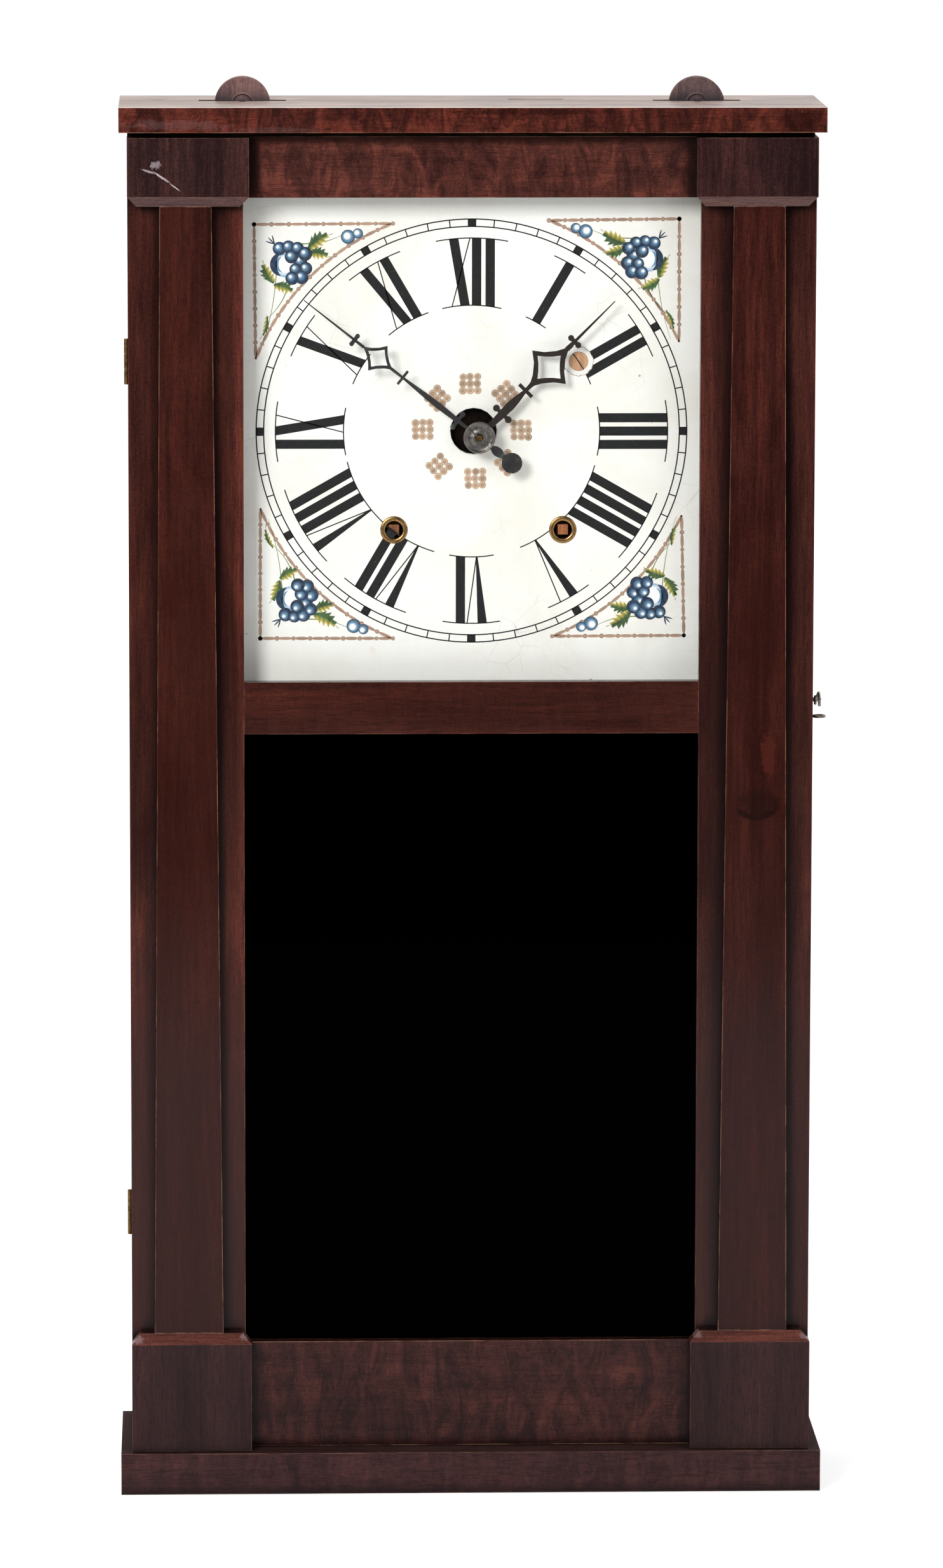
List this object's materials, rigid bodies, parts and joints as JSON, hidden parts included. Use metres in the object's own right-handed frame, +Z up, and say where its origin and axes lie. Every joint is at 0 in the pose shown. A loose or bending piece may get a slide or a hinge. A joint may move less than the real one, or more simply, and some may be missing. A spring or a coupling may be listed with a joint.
{
  "type": "shelf clock",
  "caption": "Tall flat-pilastered weight-driven shelf clock with a hinged door, a painted dial above and a looking glass below.",
  "frame": {"origin": "centre of the base board's underside", "axes": "+Z up, -Y out of the clock's front, +X to the right as the clock is looked at"},
  "size_m": [0.4358, 0.12, 0.8737],
  "materials": {
    "mahogany": "french-polished mahogany veneer, satin",
    "dark_mahogany": "dark mahogany veneer, satin",
    "top_wood": "worn grey-brown unpolished pine",
    "pine": "old bare pine",
    "oak": "bare oak",
    "cherry": "waxed cherry",
    "pulley_wood": "dark stained turned wood",
    "dial_paint": "off-white painted wood, eggshell",
    "brass": "aged brass",
    "cast_iron": "rough cast iron",
    "steel": "dull steel",
    "blued_steel": "dark blued steel",
    "glass": "clear window glass",
    "looking_glass": "silvered looking glass, dark"
  },
  "bodies": {
    "case": {"base_board": "mahogany", "case_side_left": "mahogany", "case_side_right": "mahogany", "back_board": "pine", "top_board": "top_wood", "hinge_upper_case_leaf": "brass", "hinge_lower_case_leaf": "brass", "case_screw_eye": "brass", "dial_board": "dial_paint", "dial_plug": "cherry", "winding_grommet_left": "brass", "winding_grommet_right": "brass", "movement_front_plate": "oak", "movement_rear_plate": "oak", "pulley_axle_left": "steel", "pulley_axle_right": "steel", "bell": "cast_iron"},
    "door": {"door_stile_left": "mahogany", "door_stile_right": "mahogany", "door_top_rail": "mahogany", "door_mid_rail": "mahogany", "door_bottom_rail": "mahogany", "dial_glass": "glass", "looking_glass": "looking_glass", "looking_glass_backboard": "pine", "capital_left": "dark_mahogany", "capital_right": "dark_mahogany", "plinth_left": "dark_mahogany", "plinth_right": "dark_mahogany", "pilaster_left": "mahogany", "pilaster_right": "mahogany", "hinge_upper_door_leaf": "brass", "hinge_lower_door_leaf": "brass", "door_screw_eye": "brass"},
    "latch_hook": {"latch_hook": "brass"},
    "minute_hand": {"minute_hand": "blued_steel", "hand_washer": "steel", "hand_pin": "steel", "minute_arbor": "brass"},
    "minute_wheel": {"minute_wheel": "cherry"},
    "hour_hand": {"hour_hand": "blued_steel", "hour_wheel": "cherry"},
    "centre_wheel": {"centre_wheel": "cherry"},
    "time_second_wheel": {"time_second_wheel": "cherry"},
    "time_great_wheel": {"time_great_wheel": "cherry"},
    "third_wheel": {"third_wheel": "cherry"},
    "escape_wheel": {"escape_wheel": "brass"},
    "time_drum": {"time_drum": "cherry"},
    "strike_drum": {"strike_drum": "cherry"},
    "strike_great_wheel": {"strike_great_wheel": "cherry"},
    "strike_pin_wheel": {"strike_pin_wheel": "cherry"},
    "strike_fly": {"strike_fly": "oak"},
    "verge": {"verge": "steel"},
    "pendulum": {"pendulum_rod": "steel", "pendulum_bob": "brass"},
    "hammer": {"hammer": "cast_iron"},
    "pulley_left": {"pulley_left": "pulley_wood"},
    "pulley_right": {"pulley_right": "pulley_wood"},
    "strike_weight": {"strike_weight": "cast_iron"},
    "time_weight": {"time_weight": "cast_iron"}
  },
  "joints": [
    {"name": "door_hinge", "type": "hinge", "parent": "case", "child": "door", "pos_m": [-0.2109, -0.02325, 0.43], "axis": [0, 0, -1], "range_deg": [0, 170]},
    {"name": "latch_hook_turn", "type": "hinge", "parent": "case", "child": "latch_hook", "pos_m": [0.2146, -0.0003, 0.488], "axis": [-1, 0, 0], "range_deg": [-17, 140]},
    {"name": "minute_hand_turn", "type": "hinge", "parent": "case", "child": "minute_hand", "pos_m": [0.005, -0.026, 0.6546], "axis": [0, 1, 0], "continuous": true},
    {"name": "minute_wheel_turn", "type": "hinge", "parent": "case", "child": "minute_wheel", "pos_m": [0.02405, 0, 0.6436], "axis": [0, 1, 0], "continuous": true},
    {"name": "hour_hand_turn", "type": "hinge", "parent": "case", "child": "hour_hand", "pos_m": [0.005, -0.022, 0.6546], "axis": [0, 1, 0], "continuous": true},
    {"name": "time_train_turn", "type": "hinge", "parent": "case", "child": "escape_wheel", "pos_m": [-0.02382, 0.024, 0.69835], "axis": [0, 1, 0], "continuous": true},
    {"name": "third_wheel_turn", "type": "hinge", "parent": "case", "child": "third_wheel", "pos_m": [-0.01908, 0.024, 0.67146], "axis": [0, 1, 0], "continuous": true},
    {"name": "centre_wheel_turn", "type": "hinge", "parent": "case", "child": "centre_wheel", "pos_m": [0.005, 0.024, 0.6546], "axis": [0, 1, 0], "continuous": true},
    {"name": "time_second_wheel_turn", "type": "hinge", "parent": "case", "child": "time_second_wheel", "pos_m": [0.03314, 0.024, 0.63854], "axis": [0, 1, 0], "continuous": true},
    {"name": "time_great_wheel_turn", "type": "hinge", "parent": "case", "child": "time_great_wheel", "pos_m": [0.057, 0.032, 0.5962], "axis": [0, 1, 0], "continuous": true},
    {"name": "strike_train_turn", "type": "hinge", "parent": "case", "child": "strike_fly", "pos_m": [-0.06618, 0.024, 0.66388], "axis": [0, 1, 0], "continuous": true},
    {"name": "strike_pin_wheel_turn", "type": "hinge", "parent": "case", "child": "strike_pin_wheel", "pos_m": [-0.067, 0.024, 0.64049], "axis": [0, 1, 0], "continuous": true},
    {"name": "strike_great_wheel_turn", "type": "hinge", "parent": "case", "child": "strike_great_wheel", "pos_m": [-0.047, 0.032, 0.5962], "axis": [0, 1, 0], "continuous": true},
    {"name": "pendulum_swing", "type": "hinge", "parent": "case", "child": "pendulum", "pos_m": [-0.02382, -0.0025, 0.72835], "axis": [0, 1, 0], "range_deg": [-3, 3]},
    {"name": "verge_swing", "type": "hinge", "parent": "case", "child": "verge", "pos_m": [-0.02382, 0.02, 0.72835], "axis": [0, 1, 0], "range_deg": [-3, 3]},
    {"name": "hammer_swing", "type": "hinge", "parent": "case", "child": "hammer", "pos_m": [-0.071, 0.024, 0.7009], "axis": [0, -1, 0], "range_deg": [0, 8], "stiffness_Nm_per_rad": 0.02, "springref_deg": -20.05},
    {"name": "time_weight_lift", "type": "slide", "parent": "case", "child": "time_weight", "axis": [0, 0, 1], "range_m": [0, 0.6]},
    {"name": "pulley_right_turn", "type": "hinge", "parent": "case", "child": "pulley_right", "pos_m": [0.1395, 0.013, 0.8565], "axis": [0, 1, 0], "continuous": true},
    {"name": "time_drum_turn", "type": "hinge", "parent": "case", "child": "time_drum", "pos_m": [0.057, 0.02, 0.5962], "axis": [0, 1, 0], "continuous": true},
    {"name": "strike_weight_lift", "type": "slide", "parent": "case", "child": "strike_weight", "axis": [0, 0, 1], "range_m": [0, 0.6]},
    {"name": "pulley_left_turn", "type": "hinge", "parent": "case", "child": "pulley_left", "pos_m": [-0.1395, 0.013, 0.8565], "axis": [0, 1, 0], "continuous": true},
    {"name": "strike_drum_turn", "type": "hinge", "parent": "case", "child": "strike_drum", "pos_m": [-0.047, 0.02, 0.5962], "axis": [0, 1, 0], "continuous": true}
  ],
  "couplings": [
    {"joint": "minute_wheel_turn", "follows": "minute_hand_turn", "ratio": -0.33333},
    {"joint": "hour_hand_turn", "follows": "minute_hand_turn", "ratio": 0.083333},
    {"joint": "third_wheel_turn", "follows": "time_train_turn", "ratio": -0.16667},
    {"joint": "centre_wheel_turn", "follows": "time_train_turn", "ratio": 0.027778},
    {"joint": "time_second_wheel_turn", "follows": "time_train_turn", "ratio": -0.013889},
    {"joint": "time_great_wheel_turn", "follows": "time_train_turn", "ratio": 0.0039683},
    {"joint": "strike_pin_wheel_turn", "follows": "strike_train_turn", "ratio": -0.2},
    {"joint": "strike_great_wheel_turn", "follows": "strike_train_turn", "ratio": 0.057143},
    {"joint": "verge_swing", "follows": "pendulum_swing", "ratio": 1},
    {"joint": "pulley_right_turn", "follows": "time_weight_lift", "rad_per_m": -68.027},
    {"joint": "time_drum_turn", "follows": "time_weight_lift", "rad_per_m": 66.667},
    {"joint": "pulley_left_turn", "follows": "strike_weight_lift", "rad_per_m": 68.027},
    {"joint": "strike_drum_turn", "follows": "strike_weight_lift", "rad_per_m": -66.667}
  ]
}
